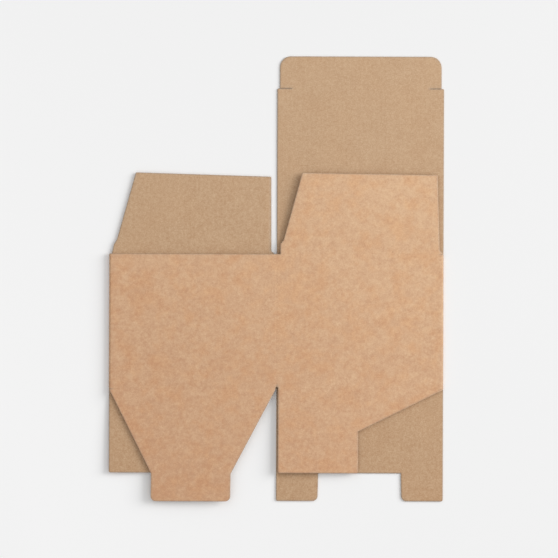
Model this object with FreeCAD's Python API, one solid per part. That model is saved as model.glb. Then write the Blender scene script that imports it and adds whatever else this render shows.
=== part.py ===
import FreeCAD, Part
import math
import os
from FreeCAD import Vector

# A tuck-top carton lying flat: one die-cut sheet of kraft board, creased, folded over at two
# of its four panel creases and glued along one seam, so that it makes a flat tube.
# Millimetres. X runs across the sheet, Y towards the lid and Z up from the table.
# While it is drawn, X is 0 at the middle crease and Y is 0 at the bottom creases.
# The lower layer (side panel, back panel) lies with its outside down, and the upper layer
# (front panel, other side panel) has its outside up.

# Board
board = 0.8                      # thickness of the sheet
layer_clearance = 0.2            # air between the glue flap and the upper layer

# Body, four equal panels
panel_width = 100.0              # from crease to crease
body_height = 81.0               # from the bottom creases to the top creases

# Creases, pressed into the outside so that the inside bulges
crease_width = 1.6
crease_depth = 0.15              # groove on the outside
bead_height = 0.12               # bead on the inside

# Glued seam
glue_width = 15.0                # glue flap, from its crease to its free edge
glue_taper = 5.0                 # each end slopes back by this
seam_step = 1.2                  # run over which the glue flap climbs onto the back panel
seam_gap = 0.2                   # back panel's free edge, short of the middle crease

# Lid, with a tuck flap held by two lock slits
tuck_length = 19.2
tuck_inset = 1.5                 # tuck flap narrower than the lid by this, each side
tuck_corner = 6.5
slit_length = 6.5                # from the tuck flap's side
slit_width = 0.3
shoulder_corner = 0.8

# Dust flaps, on the tops of both side panels
dust_length = 48.6
dust_fall = 1.0                  # the tip is this much shorter at its straight side
foot_inset = 2.3                 # beside the front panel
foot_height = 6.0
ledge_run = 1.9                  # chamfer from the foot to the slanted side
ledge_rise = 2.3
slant_inset = 15.3               # slanted side, at the tip
straight_inset = 2.3             # straight side, at its foot
seam_inset = 3.1                 # the same side where it is beside the seam
straight_draft = 0.9             # further in at the tip
dust_relief = 2.7                # height of the cut corner at the straight side's foot
dust_corner = 0.6

# Bottom flap of the back panel: two legs, with a recess between them that starts at the
# middle of the closed bottom
lock_length = 66.7
leg_width = 25.2
leg_draft = 0.4                  # each leg is this much narrower at its end
leg_inner_corner = 3.0
leg_outer_corner = 1.0

# Bottom flap of the front panel, a tapered tongue whose neck snaps into that recess
neck_clearance = 0.7             # neck to leg, each side
taper_clearance = 0.5            # the neck starts this far past the middle of the bottom
tongue_overreach = 0.3           # past the ends of the legs
tongue_corner = 3.0

# Bottom flaps of both side panels, as long as half the bottom
side_flap_inset = 1.2            # straight edge, beside the front panel
side_flap_gap = 0.8              # inner edge, short of the middle of the bottom
side_flap_step = 25.0            # straight inner edge, before the slope to the far crease
side_flap_corner = 1.0

# Relief cut between the tongue and the side panel's bottom flap
relief_height = 1.6              # above the bottom creases
relief_overlap = 0.3             # reach of the cut into the front panel

# How far the loose flaps spring up from flat, in degrees
tongue_lift = 2.0
upper_dust_lift = 1.6
upper_side_lift = 1.5
lower_dust_lift = 0.9
lower_side_lift = 2.0

# Worked out from the sizes above
upper_z = 2 * board + layer_clearance            # underside of the upper layer
fold_radius = (upper_z + board) / 2              # outside of the two folded creases
half_depth = panel_width / 2                     # middle of the closed bottom
lid_length = panel_width - board                 # so that it closes flush with the front
tuck_crease_y = body_height + lid_length
top_y = tuck_crease_y + tuck_length
tongue_length = lock_length + tongue_overreach
bottom_y = -tongue_length
back_left = seam_gap                             # back panel's free edge
back_right = panel_width
recess_width = back_right - back_left - 2 * leg_width
up = Vector(0, 0, 1)
down = Vector(0, 0, -1)


def outline(corners):
    # Closed outline through (x, y, radius) corners, each rounded by an arc that touches
    # both of its edges.
    edges = []
    places = [Vector(x, y, 0) for x, y, radius in corners]
    joins = []
    for index, (x, y, radius) in enumerate(corners):
        corner = places[index]
        back = (places[index - 1] - corner).normalize()
        ahead = (places[(index + 1) % len(corners)] - corner).normalize()
        half_angle = back.getAngle(ahead) / 2
        reach = radius / math.tan(half_angle)
        bisector = (back + ahead).normalize()
        crown = corner + bisector * (radius / math.sin(half_angle) - radius)
        joins.append((corner + back * reach, crown, corner + ahead * reach))
        if radius > 0:
            edges.append(Part.Arc(*joins[-1]).toShape())
    for index, (start, crown, end) in enumerate(joins):
        edges.append(Part.makeLine(joins[index - 1][2], start))
    return Part.Wire(Part.__sortEdges__(edges))


def die_cut(corners):
    # What a cutting die with this outline leaves, over more than the carton's height
    face = Part.Face(outline(corners))
    face.translate(down * panel_width / 2)
    return face.extrude(up * panel_width)


def rectangle(left, right, low, high):
    return [(left, low, 0), (right, low, 0), (right, high, 0), (left, high, 0)]


def dust_flap(near, foot_end, straight, relief):
    # near is the crease beside the front panel. The foot ends at foot_end, and the
    # straight side starts at the relief's height.
    foot = near + foot_inset
    return die_cut([
        (foot, body_height, 0),
        (foot_end, body_height, 0),
        (straight, body_height + relief, 0),
        (straight - straight_draft, body_height + dust_length - dust_fall, dust_corner),
        (near + slant_inset, body_height + dust_length, dust_corner),
        (foot + ledge_run, body_height + foot_height + ledge_rise, 0),
        (foot, body_height + foot_height, 0),
    ])


def side_flap(near, far):
    # Straight beside the front panel, stepped and sloped up to the far crease
    left = near + side_flap_inset
    right = near + half_depth - side_flap_gap
    return die_cut([
        (left, 0, 0),
        (left, -half_depth, side_flap_corner),
        (right, -half_depth, side_flap_corner),
        (right, side_flap_step - half_depth, 0),
        (far, 0, 0),
    ])


def tongue():
    # Both sides slope in from the front panel's creases to a straight neck
    middle = -panel_width / 2
    half_neck = recess_width / 2 - neck_clearance
    taper_end = -half_depth - taper_clearance
    return die_cut([
        (-panel_width, 0, 0),
        (middle - half_neck, taper_end, 0),
        (middle - half_neck, -tongue_length, tongue_corner),
        (middle + half_neck, -tongue_length, tongue_corner),
        (middle + half_neck, taper_end, 0),
        (-relief_overlap, 0, 0),
    ])


def lid():
    # Lid with square shoulders, and the narrower tuck flap beyond its crease
    tuck_left = back_left + tuck_inset
    tuck_right = back_right - tuck_inset
    panel = die_cut([
        (back_left, body_height, 0),
        (back_right, body_height, 0),
        (back_right, tuck_crease_y, shoulder_corner),
        (back_left, tuck_crease_y, shoulder_corner),
    ])
    tuck = die_cut([
        (tuck_left, tuck_crease_y, 0),
        (tuck_right, tuck_crease_y, 0),
        (tuck_right, top_y, tuck_corner),
        (tuck_left, top_y, tuck_corner),
    ])
    low = tuck_crease_y - slit_width / 2
    high = tuck_crease_y + slit_width / 2
    slits = [
        die_cut(rectangle(tuck_left - tuck_inset, tuck_left + slit_length, low, high)),
        die_cut(rectangle(tuck_right - slit_length, tuck_right + tuck_inset, low, high)),
    ]
    return panel.fuse(tuck).cut(slits)


def lock_flap():
    # Two legs that hook over the tongue, with the recess between them
    end = leg_width - leg_draft
    return die_cut([
        (back_left, 0, 0),
        (back_left, -lock_length, leg_outer_corner),
        (back_left + end, -lock_length, leg_inner_corner),
        (back_left + leg_width, -half_depth, 0),
        (back_right - leg_width, -half_depth, 0),
        (back_right - end, -lock_length, leg_inner_corner),
        (back_right, -lock_length, leg_outer_corner),
        (back_right, 0, 0),
    ])


def crease_rod(start, end, inward, rise, stem):
    # Rod of the crease's width: an arc rises inward from the start line, and a square
    # stem reaches back the other way.
    half = inward.cross(end - start).normalize() * crease_width / 2
    left = start - half
    right = start + half
    foot = inward * -stem
    section = Part.Wire([
        Part.Arc(left, start + inward * rise, right).toShape(),
        Part.makeLine(right, right + foot),
        Part.makeLine(right + foot, left + foot),
        Part.makeLine(left + foot, left),
    ])
    return Part.Face(section).extrude(end - start)


def press_crease(sheet, start, end, inward):
    # start and end lie on the sheet's inside, which the crease pushes out into a bead
    bead = crease_rod(start, end, inward, bead_height, board / 2)
    outside = inward * -board
    groove = crease_rod(start + outside, end + outside, inward, crease_depth, board)
    return sheet.fuse(bead).cut(groove)


def flap_tip(crease_y, reach, lift, low):
    # End of a flap's underside, lifted about its crease
    angle = math.radians(lift)
    return Vector(0, crease_y + reach * math.cos(angle), low + abs(reach) * math.sin(angle))


def sheet_slab(left, right, low, creases, bottom_lift, top_lift):
    # Uncut slab of the sheet from left to right: flat over the body, with its flaps
    # turned up about the bottom and top creases, and each crease pressed in.
    line = [
        flap_tip(0, bottom_y - board, bottom_lift, low),
        Vector(0, 0, low),
        Vector(0, body_height, low),
        flap_tip(body_height, top_y - body_height + board, top_lift, low),
    ]
    thick = up * board
    loop = line + [point + thick for point in reversed(line)] + [line[0]]
    slab = Part.Face(Part.makePolygon(loop)).extrude(Vector(right - left, 0, 0))
    slab.translate(Vector(left, 0, 0))
    inward = up if low < upper_z else down
    inside = low + board if low < upper_z else low
    for crease_left, crease_right, y in creases:
        start = Vector(crease_left, y, inside)
        slab = press_crease(slab, start, Vector(crease_right, y, inside), inward)
    return slab


def front_panel():
    # Upper layer, left: its top edge is free
    slab = sheet_slab(-panel_width, 0, upper_z, [(-panel_width, 0, 0)], tongue_lift, 0)
    body = die_cut(rectangle(fold_radius - panel_width, 0, 0, body_height))
    return slab.common(body.fuse(tongue()))


def right_side_panel():
    # Upper layer, right
    creases = [(0, panel_width, 0), (0, panel_width, body_height)]
    slab = sheet_slab(0, panel_width, upper_z, creases, upper_side_lift, upper_dust_lift)
    body = die_cut(rectangle(0, panel_width - fold_radius, 0, body_height))
    dust = dust_flap(0, panel_width, panel_width - straight_inset, dust_relief)
    return slab.common(body.fuse([side_flap(0, panel_width), dust]))


def left_side_panel():
    # Lower layer, left: the same flaps, seen from the inside
    creases = [(-panel_width, 0, 0), (-panel_width, 0, body_height)]
    slab = sheet_slab(-panel_width, 0, 0, creases, lower_side_lift, lower_dust_lift)
    body = die_cut(rectangle(fold_radius - panel_width, -seam_step, 0, body_height))
    dust = dust_flap(-panel_width, -seam_step, -seam_inset, seam_inset - seam_step)
    return slab.common(body.fuse([side_flap(-panel_width, 0), dust]))


def back_panel():
    # Lower layer, right, with the lid above and the two-legged flap below
    slit_reach = tuck_inset + slit_length
    creases = [
        (back_left, back_right, 0),
        (back_left, back_right, body_height),
        (back_left + slit_reach, back_right - slit_reach, tuck_crease_y),
    ]
    slab = sheet_slab(back_left, back_right, 0, creases, 0, 0)
    body = die_cut(rectangle(back_left, back_right - fold_radius, 0, body_height))
    return slab.common(body.fuse([lid(), lock_flap()]))


def fold(crease_x, flat_x):
    # Half turn of the board, from the lower layer to the upper one
    inner_radius = fold_radius - board
    middle_z = fold_radius
    outward = -1 if crease_x < flat_x else 1
    outer = Part.Arc(
        Vector(flat_x, 0, 0),
        Vector(crease_x, 0, middle_z),
        Vector(flat_x, 0, 2 * fold_radius),
    )
    inner = Part.Arc(
        Vector(flat_x, 0, board),
        Vector(flat_x + outward * inner_radius, 0, middle_z),
        Vector(flat_x, 0, upper_z),
    )
    section = Part.Wire([
        outer.toShape(),
        Part.makeLine(Vector(flat_x, 0, 2 * fold_radius), Vector(flat_x, 0, upper_z)),
        inner.toShape(),
        Part.makeLine(Vector(flat_x, 0, board), Vector(flat_x, 0, 0)),
    ])
    return Part.Face(section).extrude(Vector(0, body_height, 0))


def glue_flap():
    # Climbs from the left side panel onto the inside of the back panel, where it is glued
    line = [Vector(-seam_step, 0, 0), Vector(0, 0, board), Vector(glue_width, 0, board)]
    thick = up * board
    loop = line + [point + thick for point in reversed(line)] + [line[0]]
    slab = Part.Face(Part.makePolygon(loop)).extrude(Vector(0, body_height, 0))
    return slab.common(die_cut([
        (-seam_step, 0, 0),
        (glue_width, glue_taper, 0),
        (glue_width, body_height - glue_taper, 0),
        (-seam_step, body_height, 0),
    ]))


def relief_cut():
    # Slot with a round end, where the tongue and the side flap part
    right = side_flap_inset
    left = -relief_overlap
    radius = (right - left) / 2
    centre = Vector((left + right) / 2, relief_height - radius, -panel_width / 2)
    slot = die_cut(rectangle(left, right, -board, relief_height - radius))
    return slot.fuse(Part.makeCylinder(radius, panel_width, centre, up))


def carton():
    upper = front_panel().fuse(right_side_panel()).cut(relief_cut())
    start = Vector(0, relief_height, upper_z)
    upper = press_crease(upper, start, Vector(0, body_height, upper_z), down)
    folds = [
        fold(-panel_width, fold_radius - panel_width),
        fold(panel_width, panel_width - fold_radius),
    ]
    pieces = [left_side_panel(), back_panel(), glue_flap()] + folds
    sheet = upper.fuse(pieces).removeSplitter()
    sheet.translate(Vector(0, -(top_y + bottom_y) / 2, 0))
    return sheet


os.makedirs("parts", exist_ok=True)
shape = carton()
print("solids", len(shape.Solids), "valid", shape.isValid(), "volume", round(shape.Volume))
print("box", shape.BoundBox)
shape.exportStep("parts/carton.step")
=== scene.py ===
import math
import bmesh
import bpy
import numpy as np
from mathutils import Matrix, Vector


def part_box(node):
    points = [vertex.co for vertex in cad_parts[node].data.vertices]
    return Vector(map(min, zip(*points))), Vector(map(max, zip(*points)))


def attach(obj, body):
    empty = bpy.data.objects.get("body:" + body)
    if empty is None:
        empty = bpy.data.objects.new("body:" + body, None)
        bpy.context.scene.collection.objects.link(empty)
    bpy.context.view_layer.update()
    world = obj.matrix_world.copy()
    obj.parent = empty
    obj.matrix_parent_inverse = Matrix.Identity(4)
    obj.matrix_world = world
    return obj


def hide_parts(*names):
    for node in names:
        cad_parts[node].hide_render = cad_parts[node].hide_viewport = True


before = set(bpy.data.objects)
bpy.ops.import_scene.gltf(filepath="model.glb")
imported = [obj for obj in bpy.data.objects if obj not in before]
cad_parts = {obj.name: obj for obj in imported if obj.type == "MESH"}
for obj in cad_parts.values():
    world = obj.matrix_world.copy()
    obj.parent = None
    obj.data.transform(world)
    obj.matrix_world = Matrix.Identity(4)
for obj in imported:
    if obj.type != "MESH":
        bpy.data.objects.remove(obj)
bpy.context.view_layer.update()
cadLow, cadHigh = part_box("carton")
mm = 0.001  # all lengths in the dictionaries are millimetres

# Sheet: one creased kraft blank, folded flat and glued. X 0 is the middle crease and
# Y 0 the bottom creases, while the grids are worked out
sheet = {
    "board": 0.8,
    "layerGap": 0.2,           # air over the glue flap
    "bodyHeight": 81.0,
    "backEdge": 0.2,           # free edge of the back panel
    "glueWidth": 15.0,
    "glueTaper": 5.0,
    "glueStep": 1.2,           # run over which the glue flap climbs
    "glueFilm": 0.02,          # keeps its face just off the back panel
    "creaseWidth": 1.6,
    "upperCrease": 0.04,       # depth of the creases in the upper layer
    "lowerCrease": 0.12,       # depth of those underneath
    "tuckCrease": 0.05,
    "bow": 0.22,               # upper panels swell this much between their creases
    "leftRise": 0.85,          # the left fold stands this much off the table
    "middleRise": (1.2, 0.8),  # the upper layer's arch over the middle crease, below and above
    "cell": 2.2,               # largest grid step
    "foldSteps": 16,           # grid steps round a fold
    "cornerSteps": 5,          # and round a corner
    "rimWidth": 0.9,           # the die presses both faces down along every cut edge
    "rimDrop": 0.2,
    "foldShadeWidth": 2.2,         # painted shade darkens the right fold's turn on this width of the panel
    "foldShade": 0.9,
}

# Flaps along the bottom creases
bottomFlaps = {
    "tongueLength": 67.0,
    "taperLength": 50.5,
    "tongueCorner": 3.0,
    "neckInset": 26.2,
    "tongueLean": 0.8,         # the neck stands this much to the left
    "notchLeft": -0.3,         # relief cut beside the tongue
    "notchRight": 1.2,
    "notchHeight": 1.6,
    "sideLength": 50.0,
    "sideReach": 1.2,          # the left side flap runs this far out beside the fold
    "sideEnd": 49.2,           # inner edge of a side flap, from its panel's near crease
    "sideStep": 25.0,
    "sideCorner": 1.0,
    "lockLength": 66.7,
    "legWidth": 25.2,
    "legDraft": 0.4,
    "legInnerCorner": 3.0,
    "legOuterCorner": 1.0,
}

# Dust flaps. Heights and insets are the corners of the edge beside the front panel; the far
# edge runs over a cut corner, relief high, to straight and draws in by draft, and the tip
# falls off by fall towards it
dustFlaps = {
    "length": 48.6,
    "corner": 0.6,
    "right": {
        "heights": (0.0, 6.0, 8.3, 48.6),
        "insets": (2.3, 2.3, 4.2, 15.3),
        "straight": 2.4,
        "draft": 1.4,
        "relief": 2.7,
        "fall": 1.0,
    },
    "left": {
        "heights": (0.0, 5.4, 8.7, 48.6),
        "insets": (1.5, 2.6, 4.55, 15.7),
        "straight": 3.1,
        "draft": 0.2,
        "relief": 1.9,
        "fall": 2.3,
    },
}

# Lid and tuck flap
topFlaps = {
    "lidLength": 99.2,
    "tuckLength": 19.2,
    "tuckInset": 1.5,
    "tuckCorner": 6.5,
    "slitLength": 6.5,
    "slitWidth": 0.1,
    "shoulderCorner": 0.8,
    "cornerReach": 25.0,       # the tuck flap's columns follow its corners over this width
}

# Rise of each loose flap: degrees at its crease, how much more its left side rises than its
# right, and the distance from the crease where it would be level again
spring = {
    "tongue": (2.3, 0.0, 62.0),
    "upperSide": (1.3, 0.0, 60.0),
    "upperDust": (1.6, 0.0, 60.0),
    "lowerSide": (1.5, 0.8, 60.0),
    "lowerDust": (0.8, 0.0, 60.0),
    "lock": (0.3, 0.0, 90.0),
}

panelWidth = (cadHigh.x - cadLow.x) / 2 / mm
bottomCreaseY = cadLow.y / mm + bottomFlaps["tongueLength"]  # its place in the frame
upperZ = 3 * sheet["board"] + sheet["layerGap"]              # outside of the upper layer
foldRadius = upperZ / 2
flatEdge = panelWidth - foldRadius                           # where the folds start
rimSteps = sheet["rimWidth"] * np.array([0.15, 0.35, 0.65, 1.0])
finest = 0.1                                                 # rows closer than this are one
notchX = (bottomFlaps["notchLeft"] + bottomFlaps["notchRight"]) / 2
slitEnd = sheet["backEdge"] + topFlaps["tuckInset"] + topFlaps["slitLength"]
farSlitEnd = panelWidth - topFlaps["tuckInset"] - topFlaps["slitLength"]
legEdge = sheet["backEdge"] + bottomFlaps["legWidth"]
farLegEdge = panelWidth - bottomFlaps["legWidth"]


# Values from the first stop to the last, through every stop, in even steps of at most step
def spaced(stops, step):
    parts = []
    for start, end in zip(stops[:-1], stops[1:]):
        count = max(1, math.ceil(abs(end - start) / step - 1e-6))
        parts.append(np.linspace(start, end, count + 1)[:-1])
    return np.append(np.concatenate(parts), stops[-1])


# Places across a crease where the pressed line needs grid lines: steps of a quarter of
# half its width, each side that is asked for
def creaseStops(centre, below=True, above=True):
    half = sheet["creaseWidth"] / 2
    steps = np.linspace(0.25, 1.0, 4) * half
    low = list(centre - steps[::-1]) if below else []
    high = list(centre + steps) if above else []
    return low + [centre] + high


# Places of the rim's grid lines: to the right of a cut edge, or to the left of one
def inwards(edge):
    return [edge] + list(edge + rimSteps)


def outwards(edge):
    return list(edge - rimSteps[::-1]) + [edge]


# Distances from a flap's end, largest first, that follow its rim and its round corners
# evenly: radius times one minus the cosine of an angle from a right angle to zero
def endSteps(*radii):
    turn = 1 - np.cos(np.linspace(math.pi / 2, 0, sheet["cornerSteps"] + 1))
    steps = np.concatenate([radius * turn for radius in radii] + [rimSteps])
    return np.unique(np.round(steps / finest) * finest)[::-1]


# How far a round corner of this radius stands in, at a distance from the flap's end:
# the radius minus the root of its square less the square of what is left to the radius
def cornerInset(distance, radius):
    left = np.clip(radius - distance, 0, radius)
    return radius - np.sqrt(radius ** 2 - left ** 2)


# Depth of a pressed crease at a distance from its line: half a cosine wave, zero past
# half its width
def creaseDip(distance, depth):
    part = np.clip(np.abs(distance) / (sheet["creaseWidth"] / 2), 0, 1)
    return sheet[depth] * 0.5 * (1 + np.cos(math.pi * part))


# Height of both layers' left half over the table: the square of the distance from the
# seam, as a share of the panel's width
def leftRise(x):
    return sheet["leftRise"] * np.clip(-x / panelWidth, 0, 1) ** 2


# Arch of the upper layer: the squared cosine of a quarter turn from the middle to a fold,
# with a height that changes in a straight line up the panels
def middleRise(x, y):
    below, above = sheet["middleRise"]
    height = below + (above - below) * np.clip(y / sheet["bodyHeight"], 0, 1)
    return height * np.cos(math.pi / 2 * np.clip(x / panelWidth, -1, 1)) ** 2


# Rise of a flap at a distance from its crease: a parabola that starts at its angle and is
# level at its top, times one plus its twist, which runs from plus to minus one across
def flapRise(distance, across, name):
    angle, twist, level = spring[name]
    rise = distance * math.tan(math.radians(angle)) * (1 - distance / level / 2)
    return rise * (1 + twist * (1 - 2 * across))


# Height of the upper layer's outside over the plan: the flat layer, swollen by the
# product of two sine arches, with its flaps raised and its creases pressed down
def upperOutside(x, y):
    height = sheet["bodyHeight"]
    onFront = x < notchX
    below = np.clip(-y, 0, None)
    above = np.clip(y - height, 0, None)
    across = np.where(onFront, (x + panelWidth) / panelWidth, x / panelWidth)
    body = np.clip(y / height, 0, 1)
    swell = np.sin(math.pi * np.clip(across, 0, 1)) ** 2 * np.sin(math.pi * body) ** 2
    rise = np.where(onFront, flapRise(below, across, "tongue"), flapRise(below, across, "upperSide"))
    rise = rise + flapRise(above, across, "upperDust")
    inBody = (y >= 0) & (y <= height)
    dustDip = np.where(onFront, 0, creaseDip(y - height, "upperCrease"))
    dips = np.maximum(creaseDip(y, "upperCrease"), dustDip)
    dips = np.maximum(dips, np.where(inBody, creaseDip(x, "upperCrease"), 0))
    return upperZ + sheet["bow"] * swell + leftRise(x) + middleRise(x, y) + rise - dips


# Height of the lower layer's outside, which faces down: flat on the table, with the
# left dust flap raised and the creases pressed up
def lowerOutside(x, y):
    height = sheet["bodyHeight"]
    onSide = x < 0
    above = np.where(onSide, np.clip(y - height, 0, None), 0)
    below = np.clip(-y, 0, None)
    across = np.where(onSide, x + panelWidth, x) / panelWidth
    rise = np.where(onSide, flapRise(below, across, "lowerSide"), flapRise(below, across, "lock"))
    rise = rise + flapRise(above, across, "lowerDust")
    dips = np.maximum(creaseDip(y, "lowerCrease"), creaseDip(y - height, "lowerCrease"))
    onTuck = (x > slitEnd) & (x < farSlitEnd)
    tuckDips = creaseDip(y - height - topFlaps["lidLength"], "tuckCrease")
    return leftRise(x) + rise + np.maximum(dips, np.where(onTuck, tuckDips, 0))


# Columns of a grid, bent so that the first follows left and the last follows right along
# the rows: each end's shift fades in a straight line to nothing over reach
def bentColumns(columns, left, right, reach):
    leftShift = (left - columns[0])[:, None] * np.clip(1 - (columns - columns[0]) / reach, 0, 1)
    rightShift = (right - columns[-1])[:, None] * np.clip(1 - (columns[-1] - columns) / reach, 0, 1)
    return columns[None, :] + leftShift + rightShift


# Places of a grid whose columns run left to right and rows from low to high Y, on the
# upper layer as it is, or on the lower one turned over so that its outside faces down
def layerGrid(x, y, upper):
    x, y = np.broadcast_arrays(x, y)
    z = upperOutside(x, y) if upper else lowerOutside(x, y)
    grid = np.stack([x, y, z], axis=-1)
    return grid if upper else grid[:, ::-1]


# Columns of the four panels, each through the stops where flaps and cuts begin
footX = dustFlaps["right"]["insets"][0]
foldFootX = dustFlaps["left"]["insets"][0] - panelWidth
notchRim = [notchX - rimSteps[1], notchX - rimSteps[0], notchX]
upperLeftX = spaced([-flatEdge] + creaseStops(0, above=False) + notchRim, sheet["cell"])
upperRightX = spaced(inwards(notchX) + inwards(footX) + [flatEdge], sheet["cell"])
lowerLeftX = spaced([-flatEdge] + inwards(foldFootX) + [-sheet["glueStep"]], sheet["cell"])
lowerRightX = spaced(
    inwards(sheet["backEdge"]) + [slitEnd] + outwards(legEdge)
    + inwards(farLegEdge) + [farSlitEnd, flatEdge], sheet["cell"])
earGap = 0.02                                    # flaps end this short of a fold beside them
earEdge = panelWidth - earGap
outerX = np.array(outwards(earEdge))
notchRows = [1.0, 1.2, 1.35, 1.45, 1.52, 1.57]   # they follow the relief cut's round top
bodyRows = spaced(
    [0.0] + creaseStops(0, below=False)[1:] + notchRows + [bottomFlaps["notchHeight"]]
    + creaseStops(sheet["bodyHeight"], above=False), sheet["cell"])


# Edge of the relief cut along the rows: upright, then a half circle that meets the
# middle line at the cut's top. side is minus one left of the cut and one right of it
def notchEdge(y, side):
    radius = (bottomFlaps["notchRight"] - bottomFlaps["notchLeft"]) / 2
    over = np.clip(y - (bottomFlaps["notchHeight"] - radius), 0, radius)
    return notchX + side * np.sqrt(radius ** 2 - over ** 2)


notchReach = 6.0  # the columns beside the cut make room for it over this width


# Upper panels, from fold to fold, in two grids that part at the relief cut
def upperPanels():
    y = bodyRows[:, None]
    left = bentColumns(upperLeftX, np.full(len(bodyRows), -flatEdge), notchEdge(bodyRows, -1), notchReach)
    right = bentColumns(upperRightX, notchEdge(bodyRows, 1), np.full(len(bodyRows), flatEdge), notchReach)
    return [layerGrid(left, y, True), layerGrid(right, y, True)]


# Lower panels, and the glue flap, which climbs one board onto the back panel and whose
# ends slope back
def lowerPanels():
    y = bodyRows[:, None]
    leftPanel = layerGrid(lowerLeftX[None, :], y, False)
    rightPanel = layerGrid(lowerRightX[None, :], y, False)
    glueX = spaced([-sheet["glueStep"], 0, sheet["glueWidth"]], sheet["cell"])[None, :]
    part = (glueX + sheet["glueStep"]) / (sheet["glueWidth"] + sheet["glueStep"])
    height = sheet["bodyHeight"]
    taper = sheet["glueTaper"] * part
    glueY = taper + y / height * (height - 2 * taper)
    climb = np.clip((glueX + sheet["glueStep"]) / sheet["glueStep"], 0, 1)
    glueZ = (sheet["board"] + sheet["glueFilm"]) * climb + lowerOutside(glueX, y) * (1 - climb)
    glue = np.stack(np.broadcast_arrays(glueX, glueY, glueZ), axis=-1)[:, ::-1]
    return [leftPanel, rightPanel, glue]


# Fold beside a panel: a half turn about a line along Y, halfway between the two layers.
# X moves out by the radius times the sine of the turn, and Z follows its cosine
def fold(side):
    turn = np.linspace(0, math.pi, sheet["foldSteps"] + 1)[None, :]
    y = bodyRows[:, None]
    edge = np.full_like(y, side * flatEdge)
    top = upperOutside(edge, y)
    low = lowerOutside(edge, y)
    x = edge + side * foldRadius * np.sin(turn)
    z = (top + low) / 2 + (top - low) / 2 * np.cos(turn)
    grid = np.stack(np.broadcast_arrays(x, y, z), axis=-1)
    return grid if side > 0 else grid[:, ::-1]


# Rows of a flap that hangs down from its crease, given as distances from the crease
def hangingRows(stops):
    return -spaced(creaseStops(0, below=False) + stops, sheet["cell"])[::-1]


# Tongue: both edges slope in to the neck, whose end has round corners
def tongue():
    length = bottomFlaps["tongueLength"]
    corner = bottomFlaps["tongueCorner"]
    rows = hangingRows([bottomFlaps["taperLength"]] + list(length - endSteps(corner)))
    slope = np.clip(-rows / bottomFlaps["taperLength"], 0, 1)
    inset = cornerInset(length + rows, corner)
    lean = bottomFlaps["tongueLean"] * rows / bottomFlaps["taperLength"]
    left = -earEdge + bottomFlaps["neckInset"] * slope + inset + lean
    rootRight = bottomFlaps["notchLeft"]
    right = rootRight + (-bottomFlaps["neckInset"] - rootRight) * slope - inset + lean
    rootX = bentColumns(upperLeftX, np.array([-flatEdge]), np.array([rootRight]), notchReach)[0]
    columns = np.append(-outerX[::-1], rootX)
    x = bentColumns(columns, left, right, rootRight + panelWidth)
    return layerGrid(x, rows[:, None], True)


# Side flap: straight beside the front panel, and on its far side a slope and a step.
# near is the X of the crease beside the front panel
def sideFlap(near, columns, upper):
    length = bottomFlaps["sideLength"]
    corner = bottomFlaps["sideCorner"]
    stepStart = length - bottomFlaps["sideStep"]
    rows = hangingRows([stepStart] + list(length - endSteps(corner)))
    inset = cornerInset(length + rows, corner)
    slope = np.clip(-rows / stepStart, 0, 1)
    left = columns[0] + inset
    right = columns[-1] + (near + bottomFlaps["sideEnd"] - columns[-1]) * slope - inset
    x = bentColumns(columns, left, right, columns[-1] - columns[0])
    return layerGrid(x, rows[:, None], upper)


# Locking flap: a full-width root, then one leg each side of the recess
def lockFlap():
    root = bottomFlaps["sideLength"]
    length = bottomFlaps["lockLength"]
    inner = bottomFlaps["legInnerCorner"]
    outer = bottomFlaps["legOuterCorner"]
    columns = np.append(lowerRightX, outerX)
    grids = [layerGrid(columns[None, :], hangingRows(outwards(root))[:, None], False)]
    rows = -spaced([root] + list(length - endSteps(inner, outer)), sheet["cell"])[::-1]
    draft = bottomFlaps["legDraft"] * (-rows - root) / (length - root)
    innerInset = draft + cornerInset(length + rows, inner)
    outerInset = cornerInset(length + rows, outer)
    leg = columns[columns < legEdge + 1e-6]
    farLeg = columns[columns > farLegEdge - 1e-6]
    reach = bottomFlaps["legWidth"]
    x = bentColumns(leg, leg[0] + outerInset, leg[-1] - innerInset, reach)
    farX = bentColumns(farLeg, farLeg[0] + innerInset, farLeg[-1] - outerInset, reach)
    grids += [layerGrid(x, rows[:, None], False), layerGrid(farX, rows[:, None], False)]
    return grids


# Dust flap: both edges are lines through the corners of its cut, and each row falls off
# across the flap by its share of the tip's fall. near is as for a side flap
def dustFlap(near, columns, upper, cut):
    length = dustFlaps["length"]
    corner = dustFlaps["corner"]
    stops = creaseStops(0, below=False) + sorted([cut["relief"], *cut["heights"][1:3]])
    rows = spaced(stops + list(length - endSteps(corner)), sheet["cell"])
    inset = cornerInset(length - rows, corner)
    left = near + np.interp(rows, cut["heights"], cut["insets"]) + inset
    far = columns[-1]
    straight = near + panelWidth - cut["straight"]
    right = np.interp(rows, [0, cut["relief"], length], [far, straight, straight - cut["draft"]]) - inset
    x = bentColumns(columns, left, right, far - columns[0])
    across = (columns - columns[0]) / (far - columns[0])
    y = rows[:, None] * (1 - cut["fall"] / length * across[None, :])
    return layerGrid(x, sheet["bodyHeight"] + y, upper)


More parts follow.
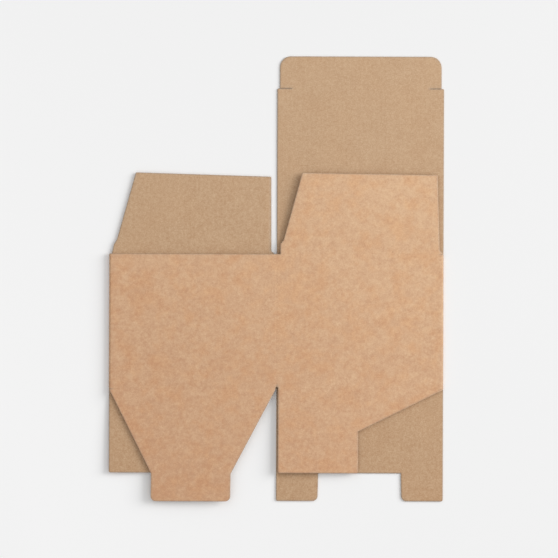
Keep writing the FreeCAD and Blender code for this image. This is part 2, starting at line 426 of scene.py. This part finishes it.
# Lid up to its shoulders, the bridge between the two lock slits, and the tuck flap
def lid():
    height = sheet["bodyHeight"]
    tuckCrease = height + topFlaps["lidLength"]
    shoulder = tuckCrease - topFlaps["slitWidth"] / 2
    tuckStart = tuckCrease + topFlaps["slitWidth"] / 2
    end = tuckCrease + topFlaps["tuckLength"]
    columns = np.append(lowerRightX, outerX)
    corner = topFlaps["shoulderCorner"]
    nearCrease = creaseStops(tuckCrease)
    rows = spaced(creaseStops(height, below=False) + list(shoulder - endSteps(corner)), sheet["cell"])
    inset = cornerInset(shoulder - rows, corner)
    x = bentColumns(columns, columns[0] + inset, columns[-1] - inset, topFlaps["slitLength"])
    grids = [layerGrid(x, rows[:, None], False)]
    bridge = columns[(columns > slitEnd - 1e-6) & (columns < farSlitEnd + 1e-6)]
    bridgeRows = np.array([shoulder, tuckCrease, tuckStart])
    grids.append(layerGrid(bridge[None, :], bridgeRows[:, None], False))
    corner = topFlaps["tuckCorner"]
    tuckLeft = sheet["backEdge"] + topFlaps["tuckInset"]
    tuckRight = panelWidth - topFlaps["tuckInset"]
    tuckColumns = np.concatenate([
        spaced(inwards(tuckLeft) + [slitEnd], sheet["cell"])[:-1],
        bridge,
        spaced([farSlitEnd] + outwards(tuckRight), sheet["cell"])[1:],
    ])
    tuckStops = [tuckStart] + [stop for stop in nearCrease if stop > tuckStart + 0.01]
    tuckRows = spaced(tuckStops + list(end - endSteps(corner)), sheet["cell"])
    inset = cornerInset(end - tuckRows, corner)
    x = bentColumns(tuckColumns, tuckLeft + inset, tuckRight - inset, topFlaps["cornerReach"])
    grids.append(layerGrid(x, tuckRows[:, None], False))
    return grids


mergeGap = 0.004  # places nearer than this are one
blockCount = 80   # blocks that the places are worked through in


# Grids with rows, columns and places in the last axis become one sheet of quads, counted
# along rows and then columns, with the lines that two grids share merged. Places, normals
# and quads come back as arrays
def sheetFromGrids(grids):
    points, quads, count = [], [], 0
    for grid in grids:
        rows, columns = grid.shape[:2]
        index = count + np.arange(rows * columns).reshape(rows, columns)
        corners = [index[:-1, :-1], index[:-1, 1:], index[1:, 1:], index[1:, :-1]]
        quads.append(np.stack([corner.ravel() for corner in corners], axis=-1))
        points.append(grid.reshape(-1, 3))
        count += rows * columns
    places = np.concatenate(points)
    places[:, 1] += bottomCreaseY
    mesh = bpy.data.meshes.new("sheet")
    mesh.from_pydata(places.tolist(), [], np.concatenate(quads).tolist())
    work = bmesh.new()
    work.from_mesh(mesh)
    bmesh.ops.remove_doubles(work, verts=work.verts, dist=mergeGap)
    work.to_mesh(mesh)
    work.free()
    places = np.empty(3 * len(mesh.vertices))
    normals = np.empty(3 * len(mesh.vertices))
    corners = np.empty(4 * len(mesh.polygons), int)
    mesh.vertices.foreach_get("co", places)
    mesh.vertex_normals.foreach_get("vector", normals)
    mesh.loops.foreach_get("vertex_index", corners)
    bpy.data.meshes.remove(mesh)
    return places.reshape(-1, 3), normals.reshape(-1, 3), corners.reshape(-1, 4)


# Cut edges of a sheet: pairs of points that follow each other in only one quad
def cutEdges(quads):
    pairs = np.concatenate([quads[:, [side, (side + 1) % 4]] for side in range(4)])
    ends = np.sort(pairs, axis=1)
    _, first, count = np.unique(ends, axis=0, return_index=True, return_counts=True)
    return pairs[first[count == 1]]


# Distance of every place from the nearest of the line pieces from starts to ends: that of
# its foot on the line, held between the ends. It works through the places in blocks
def edgeDistance(places, starts, ends):
    along = ends - starts
    lengths = np.sum(along ** 2, axis=1)
    distance = np.empty(len(places))
    for block in np.array_split(np.arange(len(places)), blockCount):
        offset = places[block][:, None, :] - starts[None, :, :]
        part = np.clip(np.einsum("ijk,jk->ij", offset, along) / lengths, 0, 1)
        gap = offset - part[:, :, None] * along[None, :, :]
        distance[block] = np.sqrt(np.min(np.einsum("ijk,ijk->ij", gap, gap), axis=1))
    return distance


# Board of full thickness: the sheet's outside, an inside that stands one board in along
# the normals, and a wall along each cut edge. Both faces drop towards the cut edges like a
# quarter circle. The rim attribute falls from one at an edge to zero at the rim's width,
# where its tint is partly painted edge shade, and lays painted shade on the right fold's
# turn with the square of the way across it
def boardMesh(name, grids):
    places, normals, quads = sheetFromGrids(grids)
    edges = cutEdges(quads)
    distance = edgeDistance(places, places[edges[:, 0]], places[edges[:, 1]])
    rim = np.clip(1 - distance / sheet["rimWidth"], 0, 1)
    drop = sheet["rimDrop"] * (1 - np.sqrt(1 - rim ** 2))[:, None]
    outside = places - normals * drop
    inside = places - normals * (sheet["board"] - drop)
    # Painted shade on the right fold's turn, carried in the rim attribute
    across = np.clip((places[:, 0] - panelWidth) / sheet["foldShadeWidth"] + 1, 0, 1)
    upper = places[:, 2] > foldRadius
    rim = np.maximum(rim, np.where(upper, sheet["foldShade"] * across ** 2, 0))
    count = len(places)
    walls = np.stack([edges[:, 1], edges[:, 0], edges[:, 0] + count, edges[:, 1] + count], axis=-1)
    faces = np.concatenate([quads, quads[:, ::-1] + count, walls])
    mesh = bpy.data.meshes.new(name)
    mesh.from_pydata((np.concatenate([outside, inside]) * mm).tolist(), [], faces.tolist())
    sideCounts = [len(quads), len(quads), len(walls)]
    mesh.polygons.foreach_set("material_index", np.repeat([0, 1, 2], sideCounts))
    mesh.polygons.foreach_set("use_smooth", np.ones(len(faces), bool))
    mesh.attributes.new("rim", "FLOAT", "POINT").data.foreach_set("value", np.tile(rim, 2))
    return mesh


def buildCarton():
    near, far = -panelWidth, 0.0
    rootLeft = np.array([bottomFlaps["notchRight"]])
    rootX = bentColumns(upperRightX, rootLeft, np.array([flatEdge]), notchReach)[0]
    upperSideX = np.append(rootX, outerX)
    earX = np.array(inwards(-flatEdge - bottomFlaps["sideReach"]))
    lowerSideX = np.concatenate([earX, lowerLeftX, [far]])
    upperDustX = np.append(upperRightX[upperRightX > footX - 1e-6], outerX)
    lowerDustX = lowerLeftX[lowerLeftX > foldFootX - 1e-6]
    grids = upperPanels() + lowerPanels() + [fold(-1), fold(1), tongue()] + lockFlap() + lid()
    grids += [sideFlap(0.0, upperSideX, True), sideFlap(near, lowerSideX, False)]
    grids.append(dustFlap(0.0, upperDustX, True, dustFlaps["right"]))
    grids.append(dustFlap(near, lowerDustX, False, dustFlaps["left"]))
    carton = bpy.data.objects.new("kraftCarton", boardMesh("kraftCarton", grids))
    bpy.context.scene.collection.objects.link(carton)
    return carton


# Kraft finishes. Colours are linear: each place mixes deep and pale. A grain is its size
# in mm and its strength in that mix, and fibre has a length and a width
kraft = {
    "outside": {
        "deep": (0.545, 0.300, 0.167),
        "pale": (0.725, 0.480, 0.286),
        "blush": (1.0, 0.93, 0.86),     # tint of the redder patches
        "patch": (5.0, 0.75),
        "mottle": (2.0, 1.1),
        "speckle": (0.75, 1.2),
        "fibre": (1.1, 0.3, 0.4),
        "flute": (2.6, 0.0),
        "fleck": (1.1, 0.72, 0.86),
        "paintedLightSlope": (0.9, 1.9, 0.0),      # painted light: more pale per metre to the right and to the lid, where the key falls stronger
        "rim": (0.76, 0.84, 0.97),      # tint of the pressed rims, partly painted edge shade, and of the painted fold shade
        "relief": 0.03,
        "roughness": (0.60, 0.74),
    },
    "inside": {
        "deep": (0.447, 0.262, 0.140),
        "pale": (0.602, 0.417, 0.260),
        "blush": (1.0, 0.985, 0.97),
        "patch": (14.0, 0.35),
        "mottle": (1.8, 1.0),
        "speckle": (0.75, 1.6),
        "fibre": (1.0, 0.3, 0.6),
        "flute": (2.6, 0.05),
        "fleck": (0.9, 0.74, 0.88),
        "paintedLightSlope": (0.1, 1.0, 0.0),
        "rim": (0.76, 0.84, 0.98),
        "relief": 0.04,
        "roughness": (0.84, 0.96),
    },
    "cutEdge": {
        "deep": (0.30, 0.195, 0.112),
        "pale": (0.48, 0.330, 0.205),
        "blush": (1.0, 0.97, 0.94),
        "patch": (3.0, 0.4),
        "mottle": (0.9, 0.8),
        "speckle": (0.35, 0.9),
        "fibre": (1.2, 0.12, 1.4),
        "flute": (2.6, 0.0),
        "fleck": (0.6, 0.7, 0.8),
        "paintedLightSlope": (0.0, 0.0, 0.0),
        "rim": (1.0, 1.0, 1.0),
        "relief": 0.06,
        "roughness": (0.9, 1.0),
    },
}
fibreTurns = (0.6, -0.5, 1.35)  # directions that the fibres lie in, in radians
blushEnds = (0.42, 0.68)        # noise levels where the redder patches start and are full
fleckFade = 0.06                # noise levels over which a fleck darkens


def addNode(tree, kind, inputs, **settings):
    node = tree.nodes.new(kind)
    for name, value in settings.items():
        setattr(node, name, value)
    for name, value in inputs.items():
        socket = node.inputs[name]
        if isinstance(value, bpy.types.NodeSocket):
            tree.links.new(value, socket)
        else:
            socket.default_value = value
    return node


# Even noise about a half, whose blots are about size across
def grain(tree, place, size, detail):
    inputs = {"Vector": place, "Scale": 1 / (size * mm), "Detail": detail, "Roughness": 0.55}
    return addNode(tree, "ShaderNodeTexNoise", inputs).outputs["Fac"]


# Sum of a value and strength times a grain less a half
def addGrain(tree, value, field, strength):
    inputs = {0: field, 1: strength, 2: -0.5 * strength}
    part = addNode(tree, "ShaderNodeMath", inputs, operation="MULTIPLY_ADD").outputs[0]
    return addNode(tree, "ShaderNodeMath", {0: value, 1: part}, operation="ADD").outputs[0]


# Streaks of one direction: noise drawn out to length along it and width across it
def streaks(tree, place, length, width, turn):
    inputs = {
        "Vector": place,
        "Rotation": (0, 0, turn),
        "Scale": (1 / (length * mm), 1 / (width * mm), 1 / (width * mm)),
    }
    drawn = addNode(tree, "ShaderNodeMapping", inputs, vector_type="TEXTURE").outputs[0]
    inputs = {"Vector": drawn, "Scale": 1.0, "Detail": 1.0}
    return addNode(tree, "ShaderNodeTexNoise", inputs).outputs["Fac"]


# Kraft paper: patches, mottle, speckle, fibres and the ghost of the flutes are summed into
# the mix of deep and pale. Redder patches and dark flecks come on top, and the finer
# grains also stand up as relief
def kraftMaterial(name, finish):
    material = bpy.data.materials.new(name)
    material.use_nodes = True
    tree = material.node_tree
    shader = tree.nodes["Principled BSDF"]
    place = addNode(tree, "ShaderNodeTexCoord", {}).outputs["Object"]
    patch = grain(tree, place, finish["patch"][0], 3.0)
    mottle = grain(tree, place, finish["mottle"][0], 3.0)
    speckle = grain(tree, place, finish["speckle"][0], 2.0)
    length, width, fibreStrength = finish["fibre"]
    fibre = None
    for turn in fibreTurns:
        streak = streaks(tree, place, length, width, turn)
        if fibre is None:
            fibre = streak
        else:
            both = {0: fibre, 1: streak}
            fibre = addNode(tree, "ShaderNodeMath", both, operation="MAXIMUM").outputs[0]
    fleckSize, fleckStart, fleckShade = finish["fleck"]
    pitch, fluteStrength = finish["flute"]
    bands = {
        "Vector": place,
        "Scale": math.pi / 10 / (pitch * mm),
        "Distortion": 1.0,
        "Detail": 1.0,
        "Detail Scale": 0.2,
    }
    flute = addNode(tree, "ShaderNodeTexWave", bands, bands_direction="X").outputs["Fac"]

    # Painted light: the mix starts paler to the right and towards the lid, where the key falls stronger
    way = {0: place, 1: finish["paintedLightSlope"]}
    paintedLight = addNode(tree, "ShaderNodeVectorMath", way, operation="DOT_PRODUCT").outputs["Value"]
    paintedLight = addNode(tree, "ShaderNodeMath", {0: paintedLight, 1: 0.5}, operation="ADD").outputs[0]
    mix = addGrain(tree, paintedLight, patch, finish["patch"][1])
    mix = addGrain(tree, mix, mottle, finish["mottle"][1])
    mix = addGrain(tree, mix, speckle, finish["speckle"][1])
    mix = addGrain(tree, mix, fibre, fibreStrength)
    if fluteStrength:
        mix = addGrain(tree, mix, flute, fluteStrength)
    colour = addNode(tree, "ShaderNodeMix", {}, data_type="RGBA")
    colour.inputs[6].default_value = (*finish["deep"], 1)
    colour.inputs[7].default_value = (*finish["pale"], 1)
    tree.links.new(mix, colour.inputs[0])

    cloud = grain(tree, place, finish["patch"][0] * 1.7, 2.0)
    cloud = addNode(tree, "ShaderNodeMapRange", {0: cloud, 1: blushEnds[0], 2: blushEnds[1]}).outputs[0]
    blush = addNode(tree, "ShaderNodeMix", {}, data_type="RGBA", blend_type="MULTIPLY")
    blush.inputs[7].default_value = (*finish["blush"], 1)
    tree.links.new(cloud, blush.inputs[0])
    tree.links.new(colour.outputs[2], blush.inputs[6])

    fleck = grain(tree, place, fleckSize, 1.0)
    fleckEnds = {0: fleck, 1: fleckStart, 2: fleckStart + fleckFade}
    fleck = addNode(tree, "ShaderNodeMapRange", fleckEnds).outputs[0]
    flecked = addNode(tree, "ShaderNodeMix", {}, data_type="RGBA", blend_type="MULTIPLY")
    flecked.inputs[7].default_value = (fleckShade, fleckShade, fleckShade, 1)
    tree.links.new(fleck, flecked.inputs[0])
    tree.links.new(blush.outputs[2], flecked.inputs[6])
    # Tint by the rim attribute: pressed cut edges, partly painted edge shade, and painted shade on the
    # right fold's turn
    rim = addNode(tree, "ShaderNodeAttribute", {}, attribute_name="rim").outputs["Fac"]
    rimmed = addNode(tree, "ShaderNodeMix", {}, data_type="RGBA", blend_type="MULTIPLY")
    rimmed.inputs[7].default_value = (*finish["rim"], 1)
    tree.links.new(rim, rimmed.inputs[0])
    tree.links.new(flecked.outputs[2], rimmed.inputs[6])
    tree.links.new(rimmed.outputs[2], shader.inputs["Base Color"])

    smooth, rough = finish["roughness"]
    matt = addNode(tree, "ShaderNodeMapRange", {0: mottle, 1: 0.3, 2: 0.7, 3: smooth, 4: rough}).outputs[0]
    tree.links.new(matt, shader.inputs["Roughness"])
    shader.inputs["Specular IOR Level"].default_value = 0.5

    height = addGrain(tree, fibre, speckle, 0.6)
    height = addGrain(tree, height, mottle, 0.5)
    if fluteStrength:
        height = addGrain(tree, height, flute, 0.25)
    dents = {"Height": height, "Strength": 0.5, "Distance": finish["relief"] * mm}
    bump = addNode(tree, "ShaderNodeBump", dents)
    tree.links.new(bump.outputs[0], shader.inputs["Normal"])
    return material


# Studio: a pale floor, a large soft key light low on the right and a sky that brightens from
# the horizon to straight up. fade is how much brighter the key makes the table per metre, to
# the right and to the back
studio = {
    "floorColour": 0.9,
    "fade": (0.43, 0.13),
    "fadeEnds": (0.92, 1.1),
    "floorReach": 6000.0,
    "floorDrop": 0.05,         # keeps the table off the board's lowest face
    "horizon": 0.1,
    "zenith": 0.94,
    "keyPlace": (1455, 368, 868),
    "keySize": 1035,
    "keyPower": 21.5,
}

# Camera over the table, on a long lens. mmPerPixel and centre place the photograph's
# frame on the sheet, and roll turns it
camera = {
    "distance": 3000.0,
    "pixels": 558,
    "mmPerPixel": 0.5988,
    "centre": (1.55, -0.1),
    "roll": 0.2,
    "sensor": 36.0,
    "clipEnd": 10000.0,
}


def addFloor():
    reach = studio["floorReach"] * mm
    drop = -studio["floorDrop"] * mm
    mesh = bpy.data.meshes.new("floor")
    corners = [(-reach, -reach, drop), (reach, -reach, drop), (reach, reach, drop), (-reach, reach, drop)]
    mesh.from_pydata(corners, [], [(0, 1, 2, 3)])
    floor = bpy.data.objects.new("floor", mesh)
    bpy.context.scene.collection.objects.link(floor)
    material = bpy.data.materials.new("paleFloor")
    material.use_nodes = True
    tree = material.node_tree
    shader = tree.nodes["Principled BSDF"]
    place = addNode(tree, "ShaderNodeTexCoord", {}).outputs["Object"]
    slope = {0: place, 1: (*studio["fade"], 0)}
    light = addNode(tree, "ShaderNodeVectorMath", slope, operation="DOT_PRODUCT").outputs["Value"]
    light = addNode(tree, "ShaderNodeMath", {0: light, 1: 1.0}, operation="ADD").outputs[0]
    darkest, brightest = studio["fadeEnds"]
    light = addNode(tree, "ShaderNodeClamp", {"Value": light, "Min": darkest, "Max": brightest}).outputs[0]
    share = {0: studio["floorColour"], 1: light}
    paint = addNode(tree, "ShaderNodeMath", share, operation="DIVIDE").outputs[0]
    tree.links.new(paint, shader.inputs["Base Color"])
    shader.inputs["Roughness"].default_value = 1.0
    shader.inputs["Specular IOR Level"].default_value = 0.0
    mesh.materials.append(material)


def addLights():
    world = bpy.data.worlds.new("sky")
    world.use_nodes = True
    tree = world.node_tree
    direction = addNode(tree, "ShaderNodeTexCoord", {}).outputs["Generated"]
    upward = addNode(tree, "ShaderNodeSeparateXYZ", {"Vector": direction}).outputs["Z"]
    levels = {0: upward, 1: 0.0, 2: 1.0, 3: studio["horizon"], 4: studio["zenith"]}
    strength = addNode(tree, "ShaderNodeMapRange", levels).outputs[0]
    tree.nodes["Background"].inputs["Color"].default_value = (1, 1, 1, 1)
    tree.links.new(strength, tree.nodes["Background"].inputs["Strength"])
    bpy.context.scene.world = world
    key = bpy.data.lights.new("key", "AREA")
    key.size = studio["keySize"] * mm
    key.energy = studio["keyPower"]
    lamp = bpy.data.objects.new("key", key)
    lamp.location = Vector(studio["keyPlace"]) * mm
    lamp.rotation_euler = (-lamp.location).to_track_quat("-Z", "Y").to_euler()
    bpy.context.scene.collection.objects.link(lamp)


def addCamera():
    data = bpy.data.cameras.new("camera")
    data.sensor_width = camera["sensor"]
    data.lens = camera["distance"] * camera["sensor"] / (camera["pixels"] * camera["mmPerPixel"])
    data.clip_end = camera["clipEnd"] * mm
    view = bpy.data.objects.new("camera", data)
    view.location = Vector((*camera["centre"], camera["distance"])) * mm
    view.rotation_euler = (0, 0, math.radians(camera["roll"]))
    bpy.context.scene.collection.objects.link(view)
    bpy.context.scene.camera = view


carton = buildCarton()
for name, finish in kraft.items():
    carton.data.materials.append(kraftMaterial(name, finish))
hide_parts("carton")
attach(carton, "root")
print("carton:", len(carton.data.polygons), "faces")

addFloor()
addLights()
addCamera()
bpy.context.scene.view_settings.view_transform = "Standard"
print("studio: floor, lights and camera in place")
